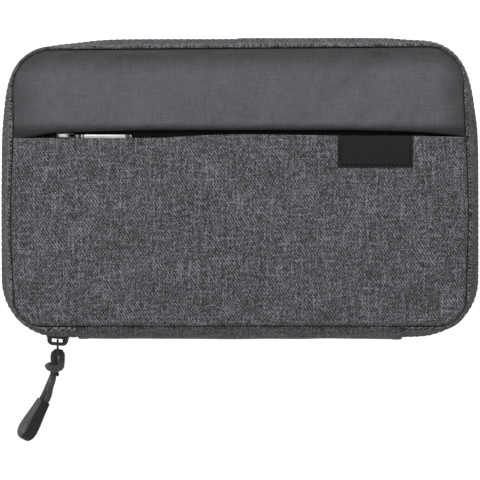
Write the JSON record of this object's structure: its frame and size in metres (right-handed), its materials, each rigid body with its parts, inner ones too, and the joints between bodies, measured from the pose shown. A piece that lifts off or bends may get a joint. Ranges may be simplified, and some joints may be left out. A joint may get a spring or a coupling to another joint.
{
  "type": "cable organizer pouch",
  "caption": "Soft zip-round cable organizer pouch: two padded halves on a cloth spine, a flat front zip pocket under a puffed band, and a cord pull with a moulded grip.",
  "frame": {"origin": "centre of the flat rear face, which the pouch lies on", "axes": "+X along the long side to the right, +Y to the edge with the front pocket, +Z out of the front face"},
  "size_m": [0.239, 0.2028, 0.0468],
  "materials": {
    "heather_cloth": "woven melange, matt",
    "twill_cloth": "fine twill, soft sheen",
    "lining_cloth": "plain weave, matt",
    "foam_board": "closed-cell foam, matt",
    "zip_tape": "woven tape, matt",
    "zip_coil": "moulded nylon coil",
    "dark_metal": "dark gunmetal, satin",
    "light_metal": "plated, satin",
    "cord": "braided cord",
    "grip_rubber": "moulded, matt",
    "elastic": "ribbed elastic",
    "mesh": "open net",
    "label_cloth": "smooth woven patch"
  },
  "bodies": {
    "base": {"rear_panel": "heather_cloth", "rear_foam_board": "foam_board", "rear_lining": "lining_cloth", "rear_gusset": "heather_cloth", "rear_seam_binding": "elastic", "spine_panel": "heather_cloth", "spine_lining": "lining_cloth", "main_zip_tape_rear": "zip_tape", "main_zip_coil_rear": "zip_coil", "main_zip_end_stops": "dark_metal", "elastic_loops_upper": "elastic", "elastic_loops_lower": "elastic"},
    "lid": {"front_lower_panel": "heather_cloth", "front_upper_band": "twill_cloth", "front_gusset": "heather_cloth", "front_foam_board": "foam_board", "front_lining": "lining_cloth", "front_seam_binding": "elastic", "main_zip_tape_front": "zip_tape", "main_zip_coil_front": "zip_coil", "front_pocket_back": "lining_cloth", "pocket_zip_tape": "zip_tape", "pocket_zip_coil": "zip_coil", "pocket_zip_stops": "dark_metal", "label_patch": "label_cloth", "mesh_pocket": "mesh", "mesh_pocket_binding": "elastic"},
    "main_slider": {"main_zip_slider": "dark_metal"},
    "main_pull": {"main_pull_tab": "dark_metal", "main_pull_cord": "cord", "main_pull_grip": "grip_rubber"},
    "pocket_slider": {"pocket_zip_slider": "light_metal"},
    "pocket_pull": {"pocket_pull_bar": "light_metal"}
  },
  "joints": [
    {"name": "lid_hinge", "type": "hinge", "parent": "base", "child": "lid", "pos_m": [0, -0.0696, 0.045], "axis": [1, 0, 0], "range_deg": [0, 180], "deforming": ["main_zip_tape_front", "main_zip_coil_front", "main_zip_tape_rear", "main_zip_coil_rear"]},
    {"name": "main_slider_travel", "type": "hinge", "parent": "base", "child": "main_slider", "pos_m": [-0.089, -0.0445, 0.0225], "axis": [0, 0, -1], "range_deg": [0, 78]},
    {"name": "main_pull_swing", "type": "hinge", "parent": "main_slider", "child": "main_pull", "pos_m": [-0.09144, -0.07691, 0.0225], "axis": [0, 0, 1], "range_deg": [-35, 35]},
    {"name": "pocket_slider_travel", "type": "slide", "parent": "lid", "child": "pocket_slider", "axis": [1, 0, 0], "range_m": [0, 0.15]},
    {"name": "pocket_pull_swing", "type": "hinge", "parent": "pocket_slider", "child": "pocket_pull", "pos_m": [-0.0883, 0.0259, 0.0444], "axis": [0, -1, 0], "range_deg": [0, 150]}
  ]
}
